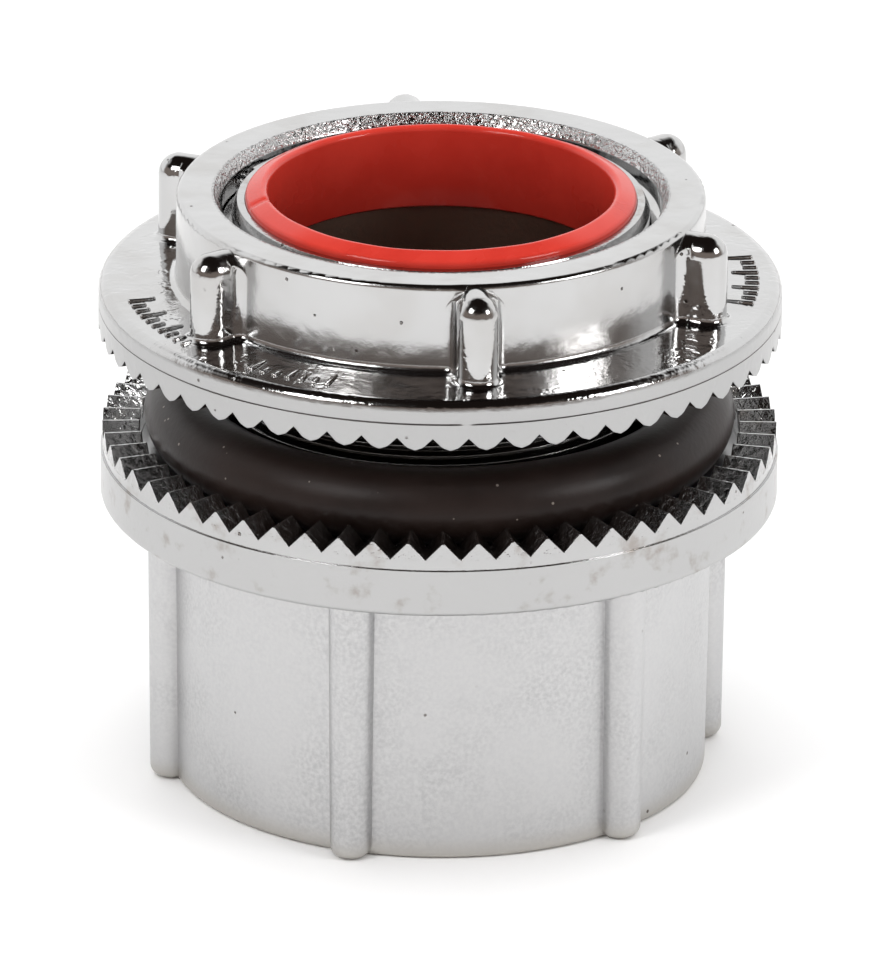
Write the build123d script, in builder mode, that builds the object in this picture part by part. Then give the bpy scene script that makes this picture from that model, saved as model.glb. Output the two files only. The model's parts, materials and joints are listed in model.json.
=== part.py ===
"""Watertight conduit hub with a sealing ring, a toothed locknut and an insulated throat.

The hub is drawn for the 1-1/2 inch trade size. Its axis is +Z, the conduit screws in from
below, and the origin is the middle of the bottom face. All sizes are in millimetres.
"""

import os
from math import hypot, pi, radians, tan

from build123d import *

# Throat liner: a plastic sleeve on a shoulder inside the end of the nipple.
THROAT_RADIUS = 19.05
LINER_WALL = 2.5
LINER_CLEARANCE = 0.05
LINER_SEAT_DEPTH = 8.2
LINER_PROUD = 1.7
LINER_LIP_SLOPE = 0.8  # how far the lip falls from its inner to its outer edge
LINER_OUTER_ROUND = 0.6
LINER_INNER_ROUND = 0.7

# Thread of the nipple and of the locknut: 11.5 turns an inch, crests and roots cut flat.
THREAD_PITCH = 25.4 / 11.5
THREAD_DEPTH = 1.1
THREAD_CREST = 0.4
THREAD_BASE = 1.5
THREAD_CLEARANCE = 0.15
THREAD_ROOTING = 0.15  # how far a thread ridge is sunk into the wall that carries it

# Nipple, the male end of the hub body.
NIPPLE_WALL = 1.4  # between the liner's seat and the roots of the thread
NIPPLE_LENGTH = 25.9  # above the tips of the hub's teeth
NIPPLE_RELIEF = 5.4  # plain neck between the recess floor and the thread
NIPPLE_TIP_CHAMFER = 1.1
NIPPLE_TIP_PLAIN = 1.0

# Sealing ring: a round rubber section round the nipple, lying in the recess of the flange.
RING_SECTION_RADIUS = 4.25
RING_BORE_CLEARANCE = 0.1
RING_SIDE_CLEARANCE = 0.45
RING_FLOOR_CLEARANCE = 0.1

# Toothed flange of the hub body, with the recess inside its teeth.
RING_RECESS_DEPTH = 3.3
HUB_TOOTH_LENGTH = 4.15
HUB_TOOTH_COUNT = 61
HUB_TOOTH_FIRST_ANGLE = 2.3  # of the first gap between teeth
HUB_TOOTH_DEPTH = 1.9
HUB_TOOTH_CREST = 0.25
HUB_TOOTH_LAND = 1.2  # plain side wall between the step and the roots of the teeth
HUB_FLANGE_STEP = 0.2
HUB_FLANGE_SIDE_HEIGHT = 5.4
HUB_FLANGE_EDGE_RADIUS = 0.7

# Conduit entry at the bottom: taper thread stood for by a plain wall at its pitch radius.
CONDUIT_RADIUS = 22.8
CONDUIT_LENGTH = 20.0
CONDUIT_MOUTH_CHAMFER = 1.5
CONDUIT_RELIEF_DEPTH = 1.2
CONDUIT_RELIEF_LENGTH = 4.5
PASSAGE_MARGIN = 0.75  # how much wider the bore above the conduit stop is than the throat

# Barrel of the hub body, with round ribs that thin a little towards the bottom face.
BARREL_WALL = 7.1
BARREL_DRAFT = 0.4
BARREL_HEIGHT = 31.8
BARREL_EDGE_RADIUS = 0.8
RIB_COUNT = 6
RIB_FIRST_ANGLE = -168.0
RIB_RADIUS = 2.3
RIB_DRAFT = 0.3
RIB_PROUD = 2.6
RIB_END_RADIUS = 1.4

# Locknut: toothed flange below, collar with domed lugs above.
LOCKNUT_GAP = 11.1  # from the tips of the hub's teeth to the tips of the locknut's teeth
LOCKNUT_FLANGE_WIDTH = 8.55
LOCKNUT_FLANGE_HEIGHT = 5.8
LOCKNUT_FLANGE_CROWN = 0.35
LOCKNUT_FLANGE_EDGE_RADIUS = 1.1
LOCKNUT_TOOTH_COUNT = 61
LOCKNUT_TOOTH_FIRST_ANGLE = 3.4
LOCKNUT_TOOTH_DEPTH = 1.35
LOCKNUT_TOOTH_LENGTH = 5.2
LOCKNUT_FLANK_ANGLE = 45.0
LOCKNUT_TIP_ANGLE = 20.0
LOCKNUT_TIP_ROUND = 1.2
LOCKNUT_TIP_SPAN = 0.96  # share of the tooth pitch that the rounded tips take up
LOCKNUT_RECESS_DEPTH = 1.9
COLLAR_WALL = 4.9
COLLAR_HEIGHT = 9.9
COLLAR_EDGE_RADIUS = 0.6
COLLAR_BORE_BEVEL = 1.3  # depth of the bevel inside the top of the bore
COLLAR_BORE_BEVEL_WIDTH = 0.8
COLLAR_ROOT_FILLET = 0.7
LUG_COUNT = 6
LUG_FIRST_ANGLE = -82.5
LUG_RADIUS = 2.3
LUG_REACH = 4.6  # from the wall of the collar to the outermost point of a lug
LUG_FILLET = 1.3
LUG_DROP = 0.3  # the domes end this far below the top of the collar
LUG_FLARE_DROP = 0.2  # the flare at the wall ends this far below the top of the dome
LUG_ROOTING = 1.0  # how far a lug is sunk into the wall of the collar

# Radii, from the throat outwards.
liner_outer_radius = THROAT_RADIUS + LINER_WALL
liner_seat_radius = liner_outer_radius + LINER_CLEARANCE
nipple_core_radius = liner_seat_radius + NIPPLE_WALL
nipple_thread_radius = nipple_core_radius + THREAD_DEPTH
ring_radius = nipple_thread_radius + RING_BORE_CLEARANCE + RING_SECTION_RADIUS
recess_radius = ring_radius + RING_SECTION_RADIUS + RING_SIDE_CLEARANCE
hub_tooth_radius = recess_radius + HUB_TOOTH_LENGTH
hub_flange_radius = hub_tooth_radius + HUB_FLANGE_STEP
passage_radius = THROAT_RADIUS + PASSAGE_MARGIN
conduit_relief_radius = CONDUIT_RADIUS + CONDUIT_RELIEF_DEPTH
barrel_radius = CONDUIT_RADIUS + BARREL_WALL
rib_centre_radius = barrel_radius + RIB_PROUD - RIB_RADIUS
locknut_core_radius = nipple_thread_radius + THREAD_CLEARANCE
collar_radius = locknut_core_radius + COLLAR_WALL
locknut_flange_radius = collar_radius + LOCKNUT_FLANGE_WIDTH
lug_centre_radius = collar_radius + LUG_REACH - LUG_RADIUS

# Heights, from the bottom face upwards.
conduit_top = CONDUIT_MOUTH_CHAMFER + CONDUIT_LENGTH
passage_bottom = conduit_top + CONDUIT_RELIEF_LENGTH
hub_step_height = BARREL_HEIGHT + HUB_FLANGE_SIDE_HEIGHT
hub_tooth_top = hub_step_height + HUB_TOOTH_LAND + HUB_TOOTH_DEPTH
recess_floor = hub_tooth_top - RING_RECESS_DEPTH
ring_height = recess_floor + RING_FLOOR_CLEARANCE + RING_SECTION_RADIUS
nipple_top = hub_tooth_top + NIPPLE_LENGTH
thread_start = recess_floor + NIPPLE_RELIEF
thread_end = nipple_top - NIPPLE_TIP_CHAMFER - NIPPLE_TIP_PLAIN
liner_seat = nipple_top - LINER_SEAT_DEPTH
liner_top = nipple_top + LINER_PROUD
locknut_bottom = hub_tooth_top + LOCKNUT_GAP
locknut_recess = locknut_bottom + LOCKNUT_RECESS_DEPTH
locknut_flange_top = locknut_bottom + LOCKNUT_FLANGE_HEIGHT
locknut_crown_foot = locknut_flange_top - LOCKNUT_FLANGE_CROWN
collar_top = locknut_flange_top + COLLAR_HEIGHT
lug_top = collar_top - LUG_DROP
lug_dome_height = lug_top - LUG_RADIUS


def from_axis(edge):
    """Distance of an edge's middle from the axis."""
    middle = edge @ 0.5
    return hypot(middle.X, middle.Y)


def circles_of(builder, radius):
    """The circular edges of one radius, lowest first."""
    circles = builder.edges().filter_by(GeomType.CIRCLE)
    return circles.filter_by(lambda e: abs(e.radius - radius) < 0.01).sort_by(Axis.Z)


def thread_ridge(wall_radius, tip_radius, bottom, turns, start_angle):
    """A helical ridge of trapezium section that stands from one radius to the other."""
    inward = 1 if wall_radius > tip_radius else -1
    with BuildPart() as ridge:
        with BuildLine() as path:
            Helix(THREAD_PITCH, turns * THREAD_PITCH, wall_radius, center=(0, 0, bottom))
        with BuildSketch(Plane(path.line @ 0, x_dir=(inward, 0, 0), z_dir=path.line % 0)):
            depth = abs(tip_radius - wall_radius)
            flare = (THREAD_BASE - THREAD_CREST) * THREAD_ROOTING / (2 * THREAD_DEPTH)
            root = THREAD_BASE / 2 + flare
            Polygon(
                (THREAD_ROOTING, -root),
                (THREAD_ROOTING, root),
                (-depth, THREAD_CREST / 2),
                (-depth, -THREAD_CREST / 2),
                align=None,
            )
        sweep(path=path.line, is_frenet=True)
    return ridge.part.rotate(Axis.Z, start_angle)


def hub_tooth_gap():
    """The wedge between two teeth of the hub: a V that narrows towards the axis."""
    above = HUB_TOOTH_DEPTH
    with BuildPart() as gap:
        for radius in (recess_radius - 1, hub_flange_radius + 1):
            half_width = radius * (pi / HUB_TOOTH_COUNT - HUB_TOOTH_CREST / (2 * hub_tooth_radius))
            top_half_width = half_width * (HUB_TOOTH_DEPTH + above) / HUB_TOOTH_DEPTH
            with BuildSketch(Plane.YZ.offset(radius)):
                Polygon(
                    (0, hub_tooth_top - HUB_TOOTH_DEPTH),
                    (top_half_width, hub_tooth_top + above),
                    (-top_half_width, hub_tooth_top + above),
                    align=None,
                )
        loft(ruled=True)
    return gap.part


def arch(radius, spring_height, reach):
    """An upright arch that stands out from the wall of the locknut's collar."""
    with BuildPart() as body:
        with BuildSketch(Plane.YZ.offset(collar_radius - LUG_ROOTING)):
            with Locations((0, spring_height)):
                Circle(radius)
                Rectangle(
                    2 * radius,
                    spring_height - locknut_crown_foot,
                    align=(Align.CENTER, Align.MAX),
                )
        extrude(amount=LUG_ROOTING + reach)
    return body.part


def locknut_tooth_gap(inner_radius):
    """The notch between two teeth of the locknut, with flanks that round into the tips."""
    tip_reach = LOCKNUT_TIP_SPAN * pi / LOCKNUT_TOOTH_COUNT * locknut_flange_radius
    flank_slope = tan(radians(LOCKNUT_FLANK_ANGLE))
    tip_slope = tan(radians(LOCKNUT_TIP_ANGLE))
    corner_reach = (LOCKNUT_TOOTH_DEPTH - tip_reach * tip_slope) / (flank_slope - tip_slope)
    corner_height = LOCKNUT_TOOTH_DEPTH - corner_reach * flank_slope
    below = tip_slope * tip_reach
    with BuildPart() as gap:
        for radius in (inner_radius, locknut_flange_radius + 1):
            narrowing = radius / locknut_flange_radius
            corner = corner_reach * narrowing
            end = 2 * tip_reach * narrowing
            with BuildSketch(Plane.YZ.offset(radius)):
                with BuildLine():
                    outline = FilletPolyline(
                        (-end, locknut_bottom - below),
                        (-corner, locknut_bottom + corner_height),
                        (0, locknut_bottom + LOCKNUT_TOOTH_DEPTH),
                        (corner, locknut_bottom + corner_height),
                        (end, locknut_bottom - below),
                        radius=[LOCKNUT_TIP_ROUND, 0, LOCKNUT_TIP_ROUND],
                    )
                    Line(outline @ 1, outline @ 0)
                make_face()
        loft(ruled=True)
    return gap.part


# Hub body
hub_gap = hub_tooth_gap()
nipple_thread = thread_ridge(
    nipple_core_radius,
    nipple_thread_radius,
    thread_start,
    (thread_end - thread_start) / THREAD_PITCH,
    0,
)

with BuildPart() as rib:
    with Locations((rib_centre_radius, 0, 0)):
        Cone(
            RIB_RADIUS,
            RIB_RADIUS + RIB_DRAFT,
            BARREL_HEIGHT,
            align=(Align.CENTER, Align.CENTER, Align.MIN),
        )
    fillet(circles_of(rib, RIB_RADIUS)[0], RIB_END_RADIUS)

with BuildPart() as hub_body:
    with BuildSketch(Plane.XZ):
        with BuildLine():
            Polyline(
                (passage_radius, passage_bottom),
                (passage_radius, liner_seat),
                (liner_seat_radius, liner_seat),
                (liner_seat_radius, nipple_top),
                (nipple_core_radius - NIPPLE_TIP_CHAMFER / 2, nipple_top),
                (nipple_core_radius, nipple_top - NIPPLE_TIP_CHAMFER),
                (nipple_core_radius, recess_floor),
                (recess_radius, recess_floor),
                (recess_radius, hub_tooth_top),
                (hub_tooth_radius, hub_tooth_top),
                (hub_tooth_radius, hub_step_height),
                (hub_flange_radius, hub_step_height),
                (hub_flange_radius, BARREL_HEIGHT),
                (barrel_radius + BARREL_DRAFT, BARREL_HEIGHT),
                (barrel_radius, 0),
                (CONDUIT_RADIUS + CONDUIT_MOUTH_CHAMFER, 0),
                (CONDUIT_RADIUS, CONDUIT_MOUTH_CHAMFER),
                (CONDUIT_RADIUS, conduit_top),
                (conduit_relief_radius, conduit_top),
                (conduit_relief_radius, passage_bottom),
                close=True,
            )
        make_face()
    revolve(axis=Axis.Z)
    fillet(circles_of(hub_body, hub_flange_radius)[0], HUB_FLANGE_EDGE_RADIUS)
    fillet(circles_of(hub_body, barrel_radius)[0], BARREL_EDGE_RADIUS)
    with PolarLocations(0, RIB_COUNT, RIB_FIRST_ANGLE):
        add(rib.part)
    with PolarLocations(0, HUB_TOOTH_COUNT, HUB_TOOTH_FIRST_ANGLE):
        add(hub_gap, mode=Mode.SUBTRACT)
    add(nipple_thread)
hub_body.part.label = "hub_body"

# Sealing ring
with BuildPart() as sealing_ring:
    with BuildSketch(Plane.XZ):
        with Locations((ring_radius, ring_height)):
            Circle(RING_SECTION_RADIUS)
    revolve(axis=Axis.Z)
sealing_ring.part.label = "sealing_ring"

# Throat liner
with BuildPart() as throat_liner:
    with BuildSketch(Plane.XZ):
        Polygon(
            (THROAT_RADIUS, liner_seat),
            (liner_outer_radius, liner_seat),
            (liner_outer_radius, liner_top - LINER_LIP_SLOPE),
            (THROAT_RADIUS, liner_top),
            align=None,
        )
    revolve(axis=Axis.Z)
    fillet(circles_of(throat_liner, liner_outer_radius)[-1], LINER_OUTER_ROUND)
    fillet(circles_of(throat_liner, THROAT_RADIUS)[-1], LINER_INNER_ROUND)
throat_liner.part.label = "throat_liner"

# Locknut
locknut_gap = locknut_tooth_gap(locknut_flange_radius - LOCKNUT_TOOTH_LENGTH - 1)
half_pitch_turn = 180.0
locknut_thread_bottom = locknut_recess + THREAD_BASE
locknut_thread_top = collar_top - COLLAR_BORE_BEVEL - THREAD_BASE
start_turns = (locknut_thread_bottom - thread_start) / THREAD_PITCH
locknut_thread = thread_ridge(
    locknut_core_radius,
    nipple_core_radius + THREAD_CLEARANCE,
    locknut_thread_bottom,
    (locknut_thread_top - locknut_thread_bottom) / THREAD_PITCH,
    360.0 * start_turns + half_pitch_turn,
)

with BuildPart() as lug:
    with BuildSketch(Plane.XY.offset(locknut_crown_foot)) as flare:
        Circle(collar_radius)
        with Locations((collar_radius, 0)):
            Rectangle(2 * LUG_REACH, 2 * LUG_RADIUS)
        fillet(flare.vertices().filter_by(lambda v: v.X < collar_radius), LUG_FILLET)
        with Locations((collar_radius - LUG_ROOTING, 0)):
            Rectangle(
                LUG_ROOTING + LUG_FILLET,
                4 * LUG_RADIUS,
                align=(Align.MIN, Align.CENTER),
                mode=Mode.INTERSECT,
            )
    extrude(amount=lug_top - LUG_FLARE_DROP - locknut_crown_foot)
    flare_radius = LUG_RADIUS + LUG_FILLET
    flare_spring = lug_top - LUG_FLARE_DROP - flare_radius
    add(arch(flare_radius, flare_spring, LUG_REACH), mode=Mode.INTERSECT)
    add(arch(LUG_RADIUS, lug_dome_height, lug_centre_radius - collar_radius))
    with BuildSketch(Plane.XZ):
        with BuildLine():
            Polyline(
                (lug_centre_radius, lug_top),
                (lug_centre_radius, locknut_crown_foot),
                (lug_centre_radius + LUG_RADIUS, locknut_crown_foot),
                (lug_centre_radius + LUG_RADIUS, lug_dome_height),
            )
            RadiusArc(
                (lug_centre_radius + LUG_RADIUS, lug_dome_height),
                (lug_centre_radius, lug_top),
                -LUG_RADIUS,
            )
        make_face()
    revolve(axis=Axis((lug_centre_radius, 0, 0), (0, 0, 1)))

with BuildPart() as locknut:
    with BuildSketch(Plane.XZ):
        with BuildLine():
            Polyline(
                (locknut_core_radius, locknut_recess),
                (locknut_core_radius, collar_top),
                (collar_radius, collar_top),
                (collar_radius, locknut_flange_top),
                (locknut_flange_radius, locknut_crown_foot),
                (locknut_flange_radius, locknut_bottom),
                (locknut_flange_radius - LOCKNUT_TOOTH_LENGTH, locknut_bottom),
                (locknut_flange_radius - LOCKNUT_TOOTH_LENGTH, locknut_recess),
                close=True,
            )
        make_face()
    revolve(axis=Axis.Z)
    fillet(circles_of(locknut, collar_radius)[-1], COLLAR_EDGE_RADIUS)
    fillet(circles_of(locknut, locknut_flange_radius)[-1], LOCKNUT_FLANGE_EDGE_RADIUS)
    with PolarLocations(0, LUG_COUNT, LUG_FIRST_ANGLE):
        add(lug.part)
    collar_root = locknut.edges().filter_by(
        lambda e: locknut_crown_foot < (e @ 0.5).Z < locknut_flange_top + 0.01
        and collar_radius - 0.01 < from_axis(e) < collar_radius + LUG_REACH + 0.01
    )
    fillet(collar_root, COLLAR_ROOT_FILLET)
    with BuildSketch(Plane.XZ):
        Polygon(
            (0, locknut_recess),
            (locknut_core_radius, locknut_recess),
            (locknut_core_radius, collar_top - COLLAR_BORE_BEVEL),
            (locknut_core_radius + COLLAR_BORE_BEVEL_WIDTH, collar_top),
            (0, collar_top),
            align=None,
        )
    revolve(axis=Axis.Z, mode=Mode.SUBTRACT)
    with PolarLocations(0, LOCKNUT_TOOTH_COUNT, LOCKNUT_TOOTH_FIRST_ANGLE):
        add(locknut_gap, mode=Mode.SUBTRACT)
    add(locknut_thread)
locknut.part.label = "locknut"

os.makedirs("parts", exist_ok=True)
for piece in (hub_body, sealing_ring, throat_liner, locknut):
    export_step(piece.part, f"parts/{piece.part.label}.step")
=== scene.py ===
"""Looks of a watertight conduit hub: satin zinc body, rubber ring, plated locknut, red throat."""

from __future__ import annotations

import json
import logging
import math
from dataclasses import dataclass
from enum import Enum
from typing import Any, Iterable

import bmesh
import bpy
import numpy as np
from mathutils import Matrix, Vector

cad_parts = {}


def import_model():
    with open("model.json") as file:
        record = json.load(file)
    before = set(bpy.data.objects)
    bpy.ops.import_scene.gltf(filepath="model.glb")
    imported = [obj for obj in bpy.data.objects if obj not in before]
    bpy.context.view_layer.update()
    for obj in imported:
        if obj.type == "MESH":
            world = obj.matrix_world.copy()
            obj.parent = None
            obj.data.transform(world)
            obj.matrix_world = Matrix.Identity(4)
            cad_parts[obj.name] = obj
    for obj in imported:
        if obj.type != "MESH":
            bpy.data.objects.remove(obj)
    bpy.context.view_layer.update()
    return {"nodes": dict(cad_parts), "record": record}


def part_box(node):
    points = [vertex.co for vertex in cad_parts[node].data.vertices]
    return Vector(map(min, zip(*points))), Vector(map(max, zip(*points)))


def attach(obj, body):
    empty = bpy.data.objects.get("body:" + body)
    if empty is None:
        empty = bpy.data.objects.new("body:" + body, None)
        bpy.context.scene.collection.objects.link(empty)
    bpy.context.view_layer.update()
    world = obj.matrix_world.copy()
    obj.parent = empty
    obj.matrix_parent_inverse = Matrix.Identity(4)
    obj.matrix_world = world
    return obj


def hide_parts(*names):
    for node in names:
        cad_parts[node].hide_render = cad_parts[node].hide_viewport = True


LOG = logging.getLogger("conduit_hub")
MM = 0.001

Socket = bpy.types.NodeSocket
Tree = bpy.types.NodeTree
Object = bpy.types.Object


class Slot(Enum):
    """The record's material slots."""

    ZINC = "cast_zinc"
    RUBBER = "black_rubber"
    PLASTIC = "red_plastic"
    PLATING = "bright_plating"


def linear(code: str) -> tuple[float, float, float, float]:
    """Turn an sRGB hex colour into linear light.

    Args:
        code: Six hex digits.

    Returns:
        Red, green and blue in linear light, and full opacity.
    """
    parts = [int(code[i : i + 2], 16) / 255 for i in (0, 2, 4)]
    light = [c / 12.92 if c <= 0.04045 else ((c + 0.055) / 1.055) ** 2.4 for c in parts]
    return (light[0], light[1], light[2], 1.0)


def add_node(
    tree: Tree,
    kind: str,
    settings: dict[str, Any] | None = None,
    values: dict[str | int, Any] | None = None,
    links: dict[str | int, Socket] | None = None,
) -> bpy.types.Node:
    """Add one node with its settings, socket values and incoming links.

    Args:
        tree: The node tree to add to.
        kind: Blender's name of the node type.
        settings: Properties of the node itself.
        values: Constant values, by socket name or number.
        links: Sockets that feed this node, by socket name or number.

    Returns:
        The new node.
    """
    node = tree.nodes.new(kind)
    for name, value in (settings or {}).items():
        setattr(node, name, value)
    for name, value in (values or {}).items():
        node.inputs[name].default_value = value
    for name, source in (links or {}).items():
        tree.links.new(source, node.inputs[name])
    return node


@dataclass(frozen=True)
class Pattern:
    """A procedural pattern of real size, sharpened into a share from 0 to 1.

    Noise gives even clouds or grain; specks are round dots about a tenth of the size given.
    The share is 0 where the texture is at low and 1 where it is at high.
    """

    size_mm: float
    low: float = 0.35
    high: float = 0.65
    detail: float = 2.0
    grain: float = 0.55
    specks: bool = False

    def share(self, tree: Tree, place: Socket) -> Socket:
        """Add the pattern at these coordinates.

        Args:
            tree: The node tree to add to.
            place: Coordinates in mm.

        Returns:
            The share, 1 where the pattern is strongest.
        """
        scale = 1.0 / self.size_mm
        if self.specks:
            texture = add_node(
                tree, "ShaderNodeTexVoronoi", values={"Scale": scale}, links={"Vector": place}
            ).outputs["Distance"]
        else:
            texture = add_node(
                tree,
                "ShaderNodeTexNoise",
                values={"Scale": scale, "Detail": self.detail, "Roughness": self.grain},
                links={"Vector": place},
            ).outputs["Fac"]
        return where(tree, (texture, self.low, self.high))


def where(tree: Tree, *conditions: Socket | tuple[Socket, float, float]) -> Socket:
    """Share of a surface, from 0 to 1, where all conditions hold.

    Args:
        tree: The node tree to add to.
        conditions: Shares, or triples of a value, where it counts as 0, and where as 1.

    Returns:
        The product of all the shares.
    """
    held = None
    for condition in conditions:
        share = condition
        if isinstance(condition, tuple):
            value, none, full = condition
            share = add_node(
                tree,
                "ShaderNodeMapRange",
                {"interpolation_type": "SMOOTHSTEP"},
                {"From Min": none, "From Max": full},
                {"Value": value},
            ).outputs["Result"]
        if held is not None:
            share = add_node(
                tree, "ShaderNodeMath", {"operation": "MULTIPLY"}, links={0: held, 1: share}
            ).outputs[0]
        held = share
    return held


def polar(tree: Tree, place: Socket) -> tuple[Socket, Socket]:
    """Split coordinates into the distance from the axis and the height.

    Args:
        tree: The node tree to add to.
        place: Coordinates in mm.

    Returns:
        The distance and the height, in mm.
    """
    flat = add_node(
        tree, "ShaderNodeVectorMath", {"operation": "MULTIPLY"}, {1: (1.0, 1.0, 0.0)}, {0: place}
    ).outputs[0]
    radius = add_node(tree, "ShaderNodeVectorMath", {"operation": "LENGTH"}, links={0: flat})
    axes = add_node(tree, "ShaderNodeSeparateXYZ", links={0: place})
    return radius.outputs["Value"], axes.outputs["Z"]


def overlaid(
    tree: Tree, base: str | float, layers: Iterable[tuple[Socket, str | float]]
) -> Socket:
    """Lay values or colours over one another, each by its own share.

    Args:
        tree: The node tree to add to.
        base: What shows where no layer lies, a hex colour or a number.
        layers: Pairs of share and hex colour, or of share and number.

    Returns:
        The finished colour or number.
    """
    coloured = isinstance(base, str)
    kind, first, second, result = ("RGBA", 6, 7, 2) if coloured else ("FLOAT", 2, 3, 0)
    under = None
    for share, layer in layers:
        values = {second: linear(layer) if coloured else layer}
        links = {0: share}
        if under is None:
            values[first] = linear(base) if coloured else base
        else:
            links[first] = under
        mix = add_node(tree, "ShaderNodeMix", {"data_type": kind}, values, links)
        under = mix.outputs[result]
    return under


def relief(
    tree: Tree, rounding_mm: float, layers: Iterable[tuple[Socket, float]]
) -> Socket:
    """Normal with softened edges and patterns raised on it.

    Args:
        tree: The node tree to add to.
        rounding_mm: Radius that sharp edges seem to have, in mm.
        layers: Pairs of height pattern and its depth in mm, negative for hollows.

    Returns:
        The finished normal.
    """
    normal = add_node(
        tree, "ShaderNodeBevel", {"samples": 6}, {"Radius": rounding_mm * MM}
    ).outputs["Normal"]
    for height, depth_mm in layers:
        normal = add_node(
            tree,
            "ShaderNodeBump",
            {"invert": depth_mm < 0},
            {"Strength": 1.0, "Distance": abs(depth_mm) * MM},
            {"Height": height, "Normal": normal},
        ).outputs["Normal"]
    return normal


@dataclass(frozen=True)
class Finish:
    """A surface finish, drawn in the object coordinates of the piece that wears it."""

    name: str
    slot: Slot

    def surface(self, tree: Tree, place: Socket) -> bpy.types.Node:
        """Build the shader of this finish.

        Args:
            tree: The material's node tree.
            place: Object coordinates in mm.

        Returns:
            The shader node.
        """
        raise NotImplementedError

    def material(self) -> bpy.types.Material:
        """Make the material on first use and share it afterwards.

        Returns:
            The material.
        """
        found = bpy.data.materials.get(self.name)
        if found is not None:
            return found
        made = bpy.data.materials.new(self.name)
        made.use_nodes = True
        tree = made.node_tree
        tree.nodes.clear()
        metres = add_node(tree, "ShaderNodeTexCoord").outputs["Object"]
        place = add_node(
            tree, "ShaderNodeVectorMath", {"operation": "SCALE"}, {"Scale": 1.0 / MM}, {0: metres}
        ).outputs[0]
        shader = self.surface(tree, place)
        add_node(tree, "ShaderNodeOutputMaterial", links={"Surface": shader.outputs[0]})
        return made

    def dress(self, piece: Object) -> None:
        """Put this finish on every material slot of a piece.

        Args:
            piece: The mesh object to dress.
        """
        slots = piece.data.materials
        if not slots:
            slots.append(self.material())
        for number in range(len(slots)):
            slots[number] = self.material()


@dataclass(frozen=True)
class CastZinc(Finish):
    """Die-cast zinc, tumbled smooth: the eye sees soft grey metal with broad, blurred lights.

    The barrel keeps its tumbled skin, the flange is brighter with a few pits, the teeth and
    the nipple are nearly mirrors, and the bore inside is darker: oxide plus painted shade.
    """

    name: str = "die_cast_zinc_tumbled"
    slot: Slot = Slot.ZINC
    flange_bottom: float = 31.8
    step_height: float = 37.2
    tooth_foot: float = 38.4
    seat_height: float = 58.0
    painted_foot_light_height: float = 3.0
    recess_radius: float = 33.15
    bore_radius: float = 22.2
    blend: float = 0.1

    def surface(self, tree: Tree, place: Socket) -> bpy.types.Node:
        """Satin metal with cloudy stains, fine grit, pits and polished teeth.

        Args:
            tree: The material's node tree.
            place: Object coordinates in mm.

        Returns:
            The shader node.
        """
        radius, height = polar(tree, place)
        # Clouds of 14 mm are left by tumbling; the real grit is finer than 0.45 mm but would
        # not show at the size of a picture.
        clouds = Pattern(14.0, detail=3.0).share(tree, place)
        grit = Pattern(0.45, 0.2, 0.8).share(tree, place)
        pits = where(
            tree,
            Pattern(3.4, 0.075, 0.045, specks=True).share(tree, place),
            Pattern(9.0, 0.5, 0.62).share(tree, place),
        )
        coarse = Pattern(0.8, 0.3, 0.7, detail=3.0).share(tree, place)
        flange = where(tree, (height, self.flange_bottom - self.blend, self.flange_bottom))
        stains = Pattern(3.2, 0.55, 0.75, detail=4.0).share(tree, place)
        smears = where(tree, flange, stains)
        step = where(tree, (height, self.step_height - self.blend, self.step_height))
        # Painted light: the lowest 3 mm of the barrel is painted lighter and warmer, standing in
        # for light from the floor against the shade that falls there.
        foot = where(tree, (height, self.painted_foot_light_height, 0.0))
        # Painted shade and oxide: the bore below the liner's seat is painted darker and browner.
        inside = where(
            tree,
            (radius, self.bore_radius + self.blend, self.bore_radius),
            (height, self.seat_height + self.blend, self.seat_height),
        )
        cast = where(
            tree,
            (height, self.tooth_foot - 2 * self.blend, self.tooth_foot),
            (radius, self.recess_radius, self.recess_radius + self.blend),
            coarse,
        )
        tint = overlaid(
            tree,
            "B0B0B1",
            [
                (clouds, "C1C1C2"),
                (grit, "C6C6C6"),
                (flange, "B4B4B4"),
                (smears, "9D9894"),
                (foot, "BAB7B2"),
                (pits, "6A635E"),
                (inside, "A08C7E"),
            ],
        )
        rough = overlaid(
            tree,
            0.36,
            [
                (clouds, 0.42),
                (flange, 0.3),
                (smears, 0.36),
                (step, 0.12),
                (cast, 0.22),
                (inside, 0.4),
            ],
        )
        normal = relief(
            tree,
            0.12,
            [(clouds, 0.03), (smears, 0.015), (grit, 0.012), (pits, -0.1), (cast, 0.05)],
        )
        return add_node(
            tree,
            "ShaderNodeBsdfPrincipled",
            values={"Metallic": 1.0},
            links={"Base Color": tint, "Roughness": rough, "Normal": normal},
        )


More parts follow.
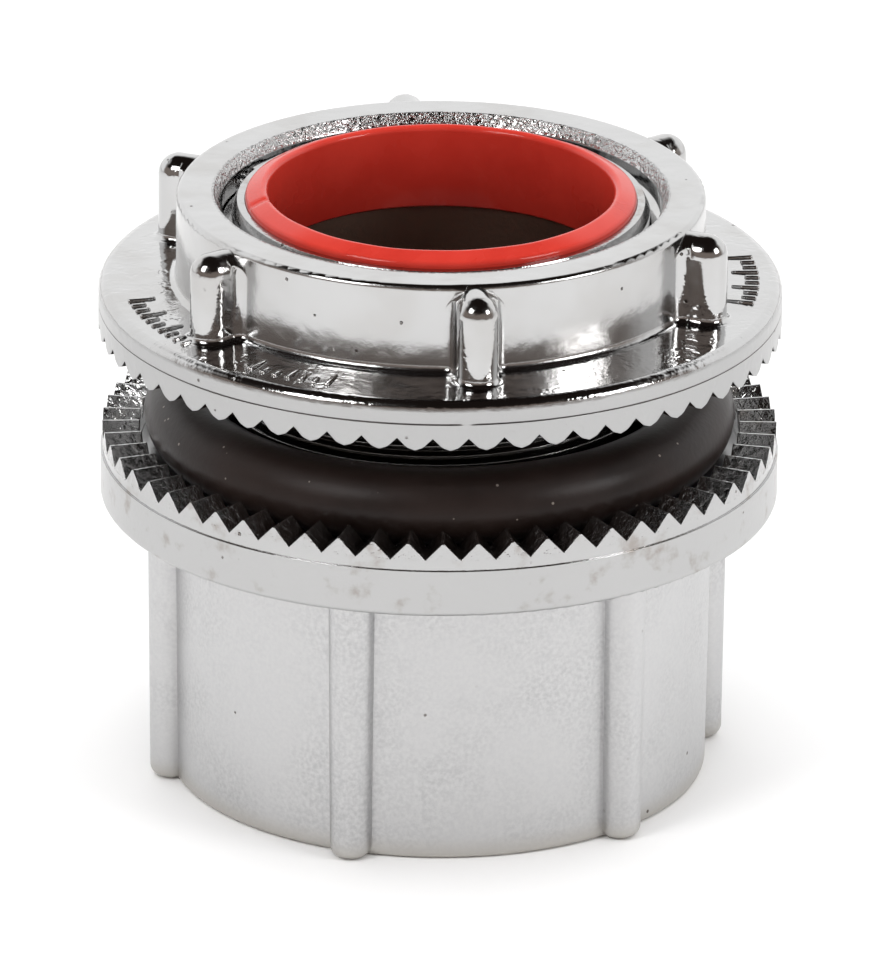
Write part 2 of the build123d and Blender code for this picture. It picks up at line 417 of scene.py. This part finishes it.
@dataclass(frozen=True)
class BrightPlating(Finish):
    """Bright nickel-chrome plating on die-cast zinc: mirror lights that ripple with the casting."""

    name: str = "bright_plated_zinc"
    slot: Slot = Slot.PLATING
    parting_height: float = 54.4
    parting_width: float = 0.12
    side_radius: float = 37.65
    wall_radius: float = 29.15
    bevel_foot: float = 65.75
    bevel_radius: float = 25.2

    def surface(self, tree: Tree, place: Socket) -> bpy.types.Node:
        """Mirror metal with slow ripples, a little haze, pits and a fine mould line.

        Args:
            tree: The material's node tree.
            place: Object coordinates in mm.

        Returns:
            The shader node.
        """
        radius, height = polar(tree, place)
        # Ripples of 6 mm follow the casting's skin; grain of 0.7 mm is the plating's peel.
        haze = Pattern(9.0, 0.4, 0.7, detail=3.0).share(tree, place)
        ripple = Pattern(6.0, 0.2, 0.8).share(tree, place)
        peel = Pattern(0.7, 0.2, 0.8, detail=3.0).share(tree, place)
        pits = where(
            tree,
            Pattern(2.6, 0.09, 0.05, specks=True).share(tree, place),
            Pattern(7.0, 0.52, 0.6).share(tree, place),
        )
        hollows = where(
            tree,
            (radius, self.wall_radius + 0.4, self.wall_radius + 0.8),
            Pattern(3.0, 0.48, 0.66, detail=3.0).share(tree, place),
        )
        # Painted shade: the flange's outer side is painted darker than the rest of the plating, and
        # is made rougher too.
        side = where(tree, (radius, self.side_radius - 0.05, self.side_radius))
        wall = where(
            tree,
            (radius, self.wall_radius + 0.3, self.wall_radius + 0.2),
            (radius, self.wall_radius - 0.2, self.wall_radius - 0.1),
        )
        # The mould's halves left a fine line, broken here and there where it was dressed.
        line = where(
            tree,
            (height, self.parting_height - self.parting_width, self.parting_height),
            (height, self.parting_height + self.parting_width, self.parting_height),
            side,
            Pattern(6.0, 0.3, 0.36).share(tree, place),
        )
        cast = where(
            tree,
            (radius, self.bevel_radius + 0.1, self.bevel_radius),
            (height, self.bevel_foot, self.bevel_foot + 0.45),
            Pattern(0.6, 0.35, 0.65, detail=3.0).share(tree, place),
        )
        tint = overlaid(
            tree,
            "BCBCBC",
            [(haze, "B5B4B3"), (side, "AEAEAE"), (pits, "5A5350"), (line, "4A4441")],
        )
        rough = overlaid(tree, 0.08, [(haze, 0.14), (wall, 0.19), (side, 0.3), (cast, 0.25)])
        normal = relief(
            tree,
            0.2,
            [
                (ripple, 0.07),
                (hollows, -0.035),
                (peel, 0.006),
                (pits, -0.08),
                (line, -0.1),
                (cast, 0.09),
            ],
        )
        return add_node(
            tree,
            "ShaderNodeBsdfPrincipled",
            values={"Metallic": 1.0},
            links={"Base Color": tint, "Roughness": rough, "Normal": normal},
        )


@dataclass(frozen=True)
class MouldedRubber(Finish):
    """Compression-moulded black rubber: brown-black, with a wide soft sheen and specks of dust."""

    name: str = "moulded_black_rubber"
    slot: Slot = Slot.RUBBER

    def surface(self, tree: Tree, place: Socket) -> bpy.types.Node:
        """Dark dielectric with bloom, specks and a fine leathery skin.

        Args:
            tree: The material's node tree.
            place: Object coordinates in mm.

        Returns:
            The shader node.
        """
        # Bloom lies in clouds of 12 mm; specks of dust are a quarter of a millimetre across.
        bloom = Pattern(12.0, 0.3, 0.7, detail=4.0).share(tree, place)
        dust = Pattern(2.6, 0.07, 0.045, specks=True).share(tree, place)
        skin = Pattern(0.7, 0.2, 0.8).share(tree, place)
        tint = overlaid(tree, "1A1210", [(bloom, "261C19"), (dust, "7C736C")])
        rough = overlaid(tree, 0.34, [(bloom, 0.44)])
        return add_node(
            tree,
            "ShaderNodeBsdfPrincipled",
            values={"IOR": 1.52, "Specular IOR Level": 0.21},
            links={
                "Base Color": tint,
                "Roughness": rough,
                "Normal": relief(tree, 0.1, [(skin, 0.01)]),
            },
        )


@dataclass(frozen=True)
class MouldedPlastic(Finish):
    """Injection-moulded red nylon: saturated colour under a clear gloss."""

    name: str = "moulded_red_nylon"
    slot: Slot = Slot.PLASTIC

    def surface(self, tree: Tree, place: Socket) -> bpy.types.Node:
        """Glossy red with flow clouds and a little light carried under the skin.

        Args:
            tree: The material's node tree.
            place: Object coordinates in mm.

        Returns:
            The shader node.
        """
        # The melt flowed in clouds of 8 mm; the mould's own skin is finer than 0.8 mm.
        flow = Pattern(8.0, 0.3, 0.7, detail=3.0).share(tree, place)
        skin = Pattern(0.8, 0.2, 0.8).share(tree, place)
        tint = overlaid(tree, "B62F25", [(flow, "C0372C")])
        rough = overlaid(tree, 0.24, [(flow, 0.32)])
        return add_node(
            tree,
            "ShaderNodeBsdfPrincipled",
            values={
                "IOR": 1.53,
                "Specular IOR Level": 0.06,
                "Coat Weight": 0.45,
                "Coat Roughness": 0.03,
                "Subsurface Weight": 0.05,
                "Subsurface Radius": (0.0008, 0.0002, 0.0001),
                "Subsurface Scale": 1.0,
            },
            links={
                "Base Color": tint,
                "Roughness": rough,
                "Normal": relief(tree, 0.1, [(skin, 0.006)]),
            },
        )


ZINC = CastZinc()
PLATING = BrightPlating()
RUBBER = MouldedRubber()
PLASTIC = MouldedPlastic()


def mesh_piece(name: str, points: np.ndarray, faces: Iterable[tuple[int, ...]]) -> Object:
    """Make a smooth-shaded mesh object from points and faces.

    Args:
        name: The object's name.
        points: One row of x, y, z for each vertex, in metres.
        faces: Vertex numbers of each face.

    Returns:
        The new object, linked to the scene.
    """
    mesh = bpy.data.meshes.new(name)
    mesh.from_pydata([tuple(p) for p in points], [], [tuple(f) for f in faces])
    mesh.validate()
    work = bmesh.new()
    work.from_mesh(mesh)
    bmesh.ops.recalc_face_normals(work, faces=work.faces)
    work.to_mesh(mesh)
    work.free()
    mesh.shade_smooth()
    piece = bpy.data.objects.new(name, mesh)
    bpy.context.scene.collection.objects.link(piece)
    return piece


def turned(name: str, outline: np.ndarray, segments: int, wander: np.ndarray) -> Object:
    """Turn a closed outline about the axis into a ring.

    Args:
        name: The object's name.
        outline: Rows of radius and height, in metres, going once round the section.
        segments: Steps round the axis.
        wander: Extra radius and height for each step and each outline point.

    Returns:
        The ring as a closed mesh.
    """
    count = len(outline)
    angles = np.linspace(0, 2 * math.pi, segments, endpoint=False)
    section = outline[None, :, :] + wander
    x = section[:, :, 0] * np.cos(angles)[:, None]
    y = section[:, :, 0] * np.sin(angles)[:, None]
    points = np.stack([x, y, section[:, :, 1]], axis=2).reshape(-1, 3)
    faces = []
    for step in range(segments):
        here, there = step * count, (step + 1) % segments * count
        for row in range(count):
            after = (row + 1) % count
            faces.append((here + row, here + after, there + after, there + row))
    return mesh_piece(name, points, faces)


def arc(
    centre: tuple[float, float], radius: float, start: float, end: float, steps: int
) -> np.ndarray:
    """Find the points of an arc in the plane of radius and height.

    Args:
        centre: Radius and height of its centre.
        radius: Its radius.
        start: Where it starts, in degrees.
        end: Where it ends, in degrees.
        steps: How many points it has.

    Returns:
        Rows of radius and height.
    """
    turn = np.radians(np.linspace(start, end, steps))
    return np.stack([centre[0] + radius * np.cos(turn), centre[1] + radius * np.sin(turn)], axis=1)


@dataclass
class HubCasting:
    """The zinc body: barrel, toothed flange and nipple, and the thread inside its entry."""

    node: Object
    entry_radius: float
    entry_length: float
    body: str = "hub"
    entry_start: float = 1.5 * MM
    thread_pitch: float = 25.4 / 11.5 * MM
    thread_depth: float = 0.9 * MM
    thread_root: float = 0.1 * MM
    flank_share: float = 0.42
    crest_share: float = 0.16
    steps_a_turn: int = 96
    fade_steps: int = 24

    def entry_thread(self) -> Object:
        """Make the female conduit thread: a helical ridge that fades out at both ends.

        Returns:
            The thread as one closed mesh.
        """
        turns = (self.entry_length - self.thread_pitch) / self.thread_pitch
        steps = int(turns * self.steps_a_turn)
        half = self.thread_pitch * self.flank_share
        crest = self.crest_share * half
        section = [
            (self.thread_root, -half),
            (self.thread_root, half),
            (-self.thread_depth, crest),
            (-self.thread_depth, -crest),
        ]
        corners = len(section)
        points, faces = [], []
        for step in range(steps + 1):
            angle = 2 * math.pi * step / self.steps_a_turn
            rise = self.entry_start + half + self.thread_pitch * step / self.steps_a_turn
            fade = min(1.0, step / self.fade_steps, (steps - step) / self.fade_steps)
            for out, up in section:
                radius = self.entry_radius + (out if out > 0 else out * fade)
                points.append((radius * math.cos(angle), radius * math.sin(angle), rise + up))
        for step in range(steps):
            for row in range(corners):
                a, b = step * corners + row, step * corners + (row + 1) % corners
                faces.append((a, b, b + corners, a + corners))
        faces.append(tuple(range(corners)))
        faces.append(tuple(steps * corners + row for row in range(corners)))
        thread = mesh_piece("conduit_thread", np.array(points), faces)
        thread.data.shade_flat()
        return thread

    def build(self) -> list[Object]:
        """Dress the casting and add its entry thread.

        Returns:
            The casting and the thread.
        """
        ZINC.dress(self.node)
        thread = self.entry_thread()
        ZINC.dress(thread)
        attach(thread, self.body)
        return [self.node, thread]


@dataclass
class SealingRing:
    """The rubber ring: a round section with a faint mould line and slow unevenness."""

    low: Vector
    high: Vector
    body: str = "seal"
    section_steps: int = 48
    turn_steps: int = 288
    flash: float = 0.06 * MM
    flash_spread: float = 0.09
    unevenness: float = 0.05 * MM
    long_waves: int = 3
    short_waves: int = 7
    short_share: float = 0.6

    def build(self) -> list[Object]:
        """Make the ring inside its CAD solid and replace that solid.

        Returns:
            The ring.
        """
        section = (self.high.z - self.low.z) / 2 - self.flash
        centre = (self.high.x - section - self.flash, (self.high.z + self.low.z) / 2)
        outline = arc(centre, section, 0, 360, self.section_steps + 1)[:-1]
        turn = np.linspace(0, 2 * math.pi, self.section_steps, endpoint=False)
        # The mould's halves meet at the inner and outer equator and leave a fine raised line.
        line = np.exp(-((np.sin(turn) / self.flash_spread) ** 2)) * self.flash
        angles = np.linspace(0, 2 * math.pi, self.turn_steps, endpoint=False)[:, None]
        slow = np.sin(self.long_waves * angles + 0.7)
        quick = np.sin(self.short_waves * angles + 2.0 + 1.5 * np.sin(turn))
        waves = (slow + self.short_share * quick) / (1 + self.short_share)
        swell = line[None, :] + (waves - 1) * self.unevenness / 2
        wander = np.stack([swell * np.cos(turn), swell * np.sin(turn)], axis=2)
        ring = turned("rubber_ring", outline, self.turn_steps, wander)
        RUBBER.dress(ring)
        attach(ring, self.body)
        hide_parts("sealing_ring")
        return [ring]


@dataclass
class ThroatLiner:
    """The red sleeve: a rolled lip above the nipple and a smooth throat below it."""

    low: Vector
    high: Vector
    throat_radius: float
    body: str = "hub"
    lip_round: float = 0.62 * MM
    lip_slope: float = 0.78 * MM
    foot_bevel: float = 0.3 * MM
    turn_steps: int = 360
    gate_angle: float = 192.0
    gate_spread: float = 0.025
    gate_depth: float = 0.25 * MM
    waver_height: float = 0.03 * MM

    def outline(self) -> np.ndarray:
        """Draw the sleeve's section: bevelled foot, straight wall and sloping rounded lip.

        Returns:
            Rows of radius and height, going once round.
        """
        outer, top, foot = self.high.x, self.high.z, self.low.z
        bore, lip, bevel = self.throat_radius, self.lip_round, self.foot_bevel
        fall = math.degrees(math.atan2(self.lip_slope, outer - bore))
        outer_centre = (outer - lip, top - lip - self.lip_slope * 0.75)
        return np.vstack(
            [
                [(bore + bevel, foot), (outer - bevel, foot), (outer, foot + bevel)],
                arc(outer_centre, lip, 0, 90 - fall, 8),
                arc((bore + lip, top - lip), lip, 90 - fall, 180, 12),
                [(bore, foot + bevel)],
            ]
        )

    def build(self) -> list[Object]:
        """Make the sleeve inside its CAD solid and replace that solid.

        Returns:
            The sleeve.
        """
        outline = self.outline()
        # The gate's scar is a shallow dip in the lip, and the lip wavers as moulded rims do.
        angles = np.linspace(0, 2 * math.pi, self.turn_steps, endpoint=False)
        from_gate = angles - math.radians(self.gate_angle)
        scar = np.exp(-((from_gate / self.gate_spread) ** 2)) * self.gate_depth
        waver = self.waver_height * (1 + np.sin(5 * angles + 1.0) * np.sin(11 * angles))
        on_lip = (outline[:, 1] > self.high.z - 2 * self.lip_round).astype(float)
        wander = np.zeros((self.turn_steps, len(outline), 2))
        wander[:, :, 1] = -(scar + waver)[:, None] * on_lip[None, :]
        sleeve = turned("red_throat_sleeve", outline, self.turn_steps, wander)
        PLASTIC.dress(sleeve)
        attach(sleeve, self.body)
        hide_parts("throat_liner")
        return [sleeve]


@dataclass
class Locknut:
    """The plated nut: toothed flange, lugged collar, mould line and raised tick marks."""

    node: Object
    low: Vector
    high: Vector
    body: str = "locknut"
    crown_outer: float = 5.45 * MM
    crown_inner: float = 5.8 * MM
    collar_radius: float = 29.15 * MM
    tick_end: float = 35.2 * MM
    tick_height: float = 0.26 * MM
    tick_lengths: tuple[float, ...] = (3.1 * MM, 1.7 * MM, 1.7 * MM)
    tick_width: float = 0.6 * MM
    tick_groups: tuple[tuple[float, int], ...] = (
        (-166.5, 10),
        (-126.0, 7),
        (-12.0, 10),
        (96.0, 7),
    )
    tick_spacing: float = 2.6
    tick_bevel: float = 0.18 * MM

    def crown(self, radius: float) -> float:
        """Find the height of the flange's top.

        Args:
            radius: Distance from the axis.

        Returns:
            The height there, at rest.
        """
        share = (radius - self.collar_radius) / (self.high.x - self.collar_radius)
        return self.low.z + self.crown_inner + share * (self.crown_outer - self.crown_inner)

    def raised_marks(self) -> Object:
        """Make the raised ticks on the flange, in plain groups that spell nothing.

        Returns:
            The ticks as one mesh.
        """
        work = bmesh.new()
        for start, count in self.tick_groups:
            for number in range(count):
                angle = math.radians(start + number * self.tick_spacing)
                length = self.tick_lengths[number % len(self.tick_lengths)]
                middle = self.tick_end - length / 2
                solid = bmesh.ops.create_cube(work, size=1.0)["verts"]
                size = Matrix.Diagonal((length, self.tick_width, 2 * self.tick_height, 1.0))
                place = Matrix.Rotation(angle, 4, "Z") @ Matrix.Translation(
                    (middle, 0.0, self.crown(middle))
                )
                bmesh.ops.transform(work, matrix=place @ size, verts=solid)
        bmesh.ops.bevel(
            work,
            geom=list(work.edges),
            offset=self.tick_bevel,
            segments=3,
            affect="EDGES",
            profile=0.5,
        )
        mesh = bpy.data.meshes.new("raised_marks")
        work.to_mesh(mesh)
        work.free()
        mesh.shade_smooth()
        marks = bpy.data.objects.new("raised_marks", mesh)
        bpy.context.scene.collection.objects.link(marks)
        return marks

    def build(self) -> list[Object]:
        """Dress the nut and add its marks.

        Returns:
            The nut and its marks.
        """
        PLATING.dress(self.node)
        marks = self.raised_marks()
        PLATING.dress(marks)
        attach(marks, self.body)
        return [self.node, marks]


@dataclass(frozen=True)
class SoftLight:
    """A soft square light that points at the fitting."""

    name: str
    place: tuple[float, float, float]
    edge: float
    watts: float
    mirrored: bool = True
    target: tuple[float, float, float] = (0.0, 0.0, 0.03)

    def hang(self) -> None:
        """Hang the light; a fill that isn't mirrored shows in no shiny surface."""
        data = bpy.data.lights.new(self.name, "AREA")
        data.shape = "SQUARE"
        data.size = self.edge
        data.energy = self.watts
        lamp = bpy.data.objects.new(self.name, data)
        lamp.location = self.place
        way = Vector(self.target) - lamp.location
        lamp.rotation_euler = way.to_track_quat("-Z", "Y").to_euler()
        lamp.visible_glossy = self.mirrored
        bpy.context.scene.collection.objects.link(lamp)


@dataclass
class Studio:
    """White sweep, soft lights and a long lens, as in a catalogue picture."""

    lens_mm: float = 525.0
    camera_place: tuple[float, float, float] = (0.00013, -1.44007, 0.61028)
    camera_pitch: float = 21.848
    camera_roll: float = 0.455
    sensor_mm: float = 36.0
    floor_reach: float = 3.0
    floor_white: str = "F4F4F4"
    card_white: str = "F4F4F4"
    front_room: str = "7D736D"
    raised_room: str = "1E1815"
    ceiling: str = "1A1513"
    sky_strength: float = 1.43
    lights: tuple[SoftLight, ...] = (
        SoftLight("overhead_fill", (0.0, 0.0, 1.6), 2.2, 31.5, mirrored=False),
        SoftLight("front_fill", (0.0, -1.4, 0.7), 1.2, 5.5, mirrored=False),
        SoftLight("left_box", (-0.72, -0.66, 0.84), 0.46, 5.2),
        SoftLight("right_box", (0.98, -0.5, 0.62), 0.42, 4.6),
    )

    def floor(self) -> None:
        """Lay the pale floor."""
        reach = self.floor_reach
        edges = ((-reach, -reach, 0), (reach, -reach, 0), (reach, reach, 0), (-reach, reach, 0))
        floor = mesh_piece("floor", np.array(edges), [(0, 1, 2, 3)])
        paper = bpy.data.materials.new("white_paper")
        paper.use_nodes = True
        shader = paper.node_tree.nodes["Principled BSDF"]
        shader.inputs["Base Color"].default_value = linear(self.floor_white)
        shader.inputs["Roughness"].default_value = 0.7
        floor.data.materials.append(paper)

    def sky(self) -> None:
        """Surround the set: white cards behind and beside, a dark room in front and above."""
        world = bpy.data.worlds.new("studio")
        world.use_nodes = True
        tree = world.node_tree
        tree.nodes.clear()
        way = add_node(tree, "ShaderNodeTexCoord").outputs["Generated"]
        axes = add_node(tree, "ShaderNodeSeparateXYZ", links={0: way}).outputs
        front = where(tree, (axes["Y"], 0.3, -0.15))
        raised = where(tree, front, (axes["Z"], 0.35, 0.55))
        above = where(tree, (axes["Z"], 0.62, 0.8))
        colour = overlaid(
            tree,
            self.card_white,
            [(front, self.front_room), (raised, self.raised_room), (above, self.ceiling)],
        )
        sky = add_node(
            tree,
            "ShaderNodeBackground",
            values={"Strength": self.sky_strength},
            links={"Color": colour},
        )
        add_node(tree, "ShaderNodeOutputWorld", links={"Surface": sky.outputs[0]})
        bpy.context.scene.world = world

    def camera(self) -> None:
        """Set the camera at the catalogue view."""
        data = bpy.data.cameras.new("camera")
        data.lens = self.lens_mm
        data.sensor_width = self.sensor_mm
        data.clip_start = 0.01
        camera = bpy.data.objects.new("camera", data)
        tilt = Matrix.Rotation(math.radians(90.0 - self.camera_pitch), 4, "X")
        roll = Matrix.Rotation(math.radians(self.camera_roll), 4, "Z")
        camera.matrix_world = Matrix.Translation(self.camera_place) @ tilt @ roll
        bpy.context.scene.collection.objects.link(camera)
        bpy.context.scene.camera = camera

    def build(self) -> None:
        """Set up floor, surroundings, lights, camera and plain colour handling."""
        self.floor()
        self.sky()
        for soft_light in self.lights:
            soft_light.hang()
        self.camera()
        view = bpy.context.scene.view_settings
        view.view_transform = "Standard"
        view.look = "None"


def corners(box: tuple[Vector, Vector]) -> list[list[float]]:
    """Write a box as plain lists of numbers.

    Args:
        box: Its lowest and highest corner.

    Returns:
        The same corners, as lists.
    """
    return [[float(c) for c in corner] for corner in box]


def main() -> None:
    """Load the frame, build every sub-assembly and the studio, and log each piece's face count."""
    logging.basicConfig(level=logging.INFO, format="%(name)s: %(message)s")
    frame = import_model()
    mounts = {mount["name"]: mount for mount in frame["record"]["mounts"]}
    entry = mounts["conduit_entry"]["dims"]
    throat = mounts["wire_throat"]["dims"]
    nodes = frame["nodes"]
    sub_assemblies = [
        HubCasting(nodes["hub_body"], entry["r_mm"] * MM, entry["length_mm"] * MM),
        SealingRing(*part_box("sealing_ring")),
        ThroatLiner(*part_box("throat_liner"), throat["r_mm"] * MM),
        Locknut(nodes["locknut"], *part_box("locknut")),
    ]
    for sub_assembly in sub_assemblies:
        for piece in sub_assembly.build():
            maker, faces = type(sub_assembly).__name__, len(piece.data.polygons)
            LOG.info("%s: %s, %d faces", maker, piece.name, faces)
    Studio().build()


if __name__ == "__main__":
    main()
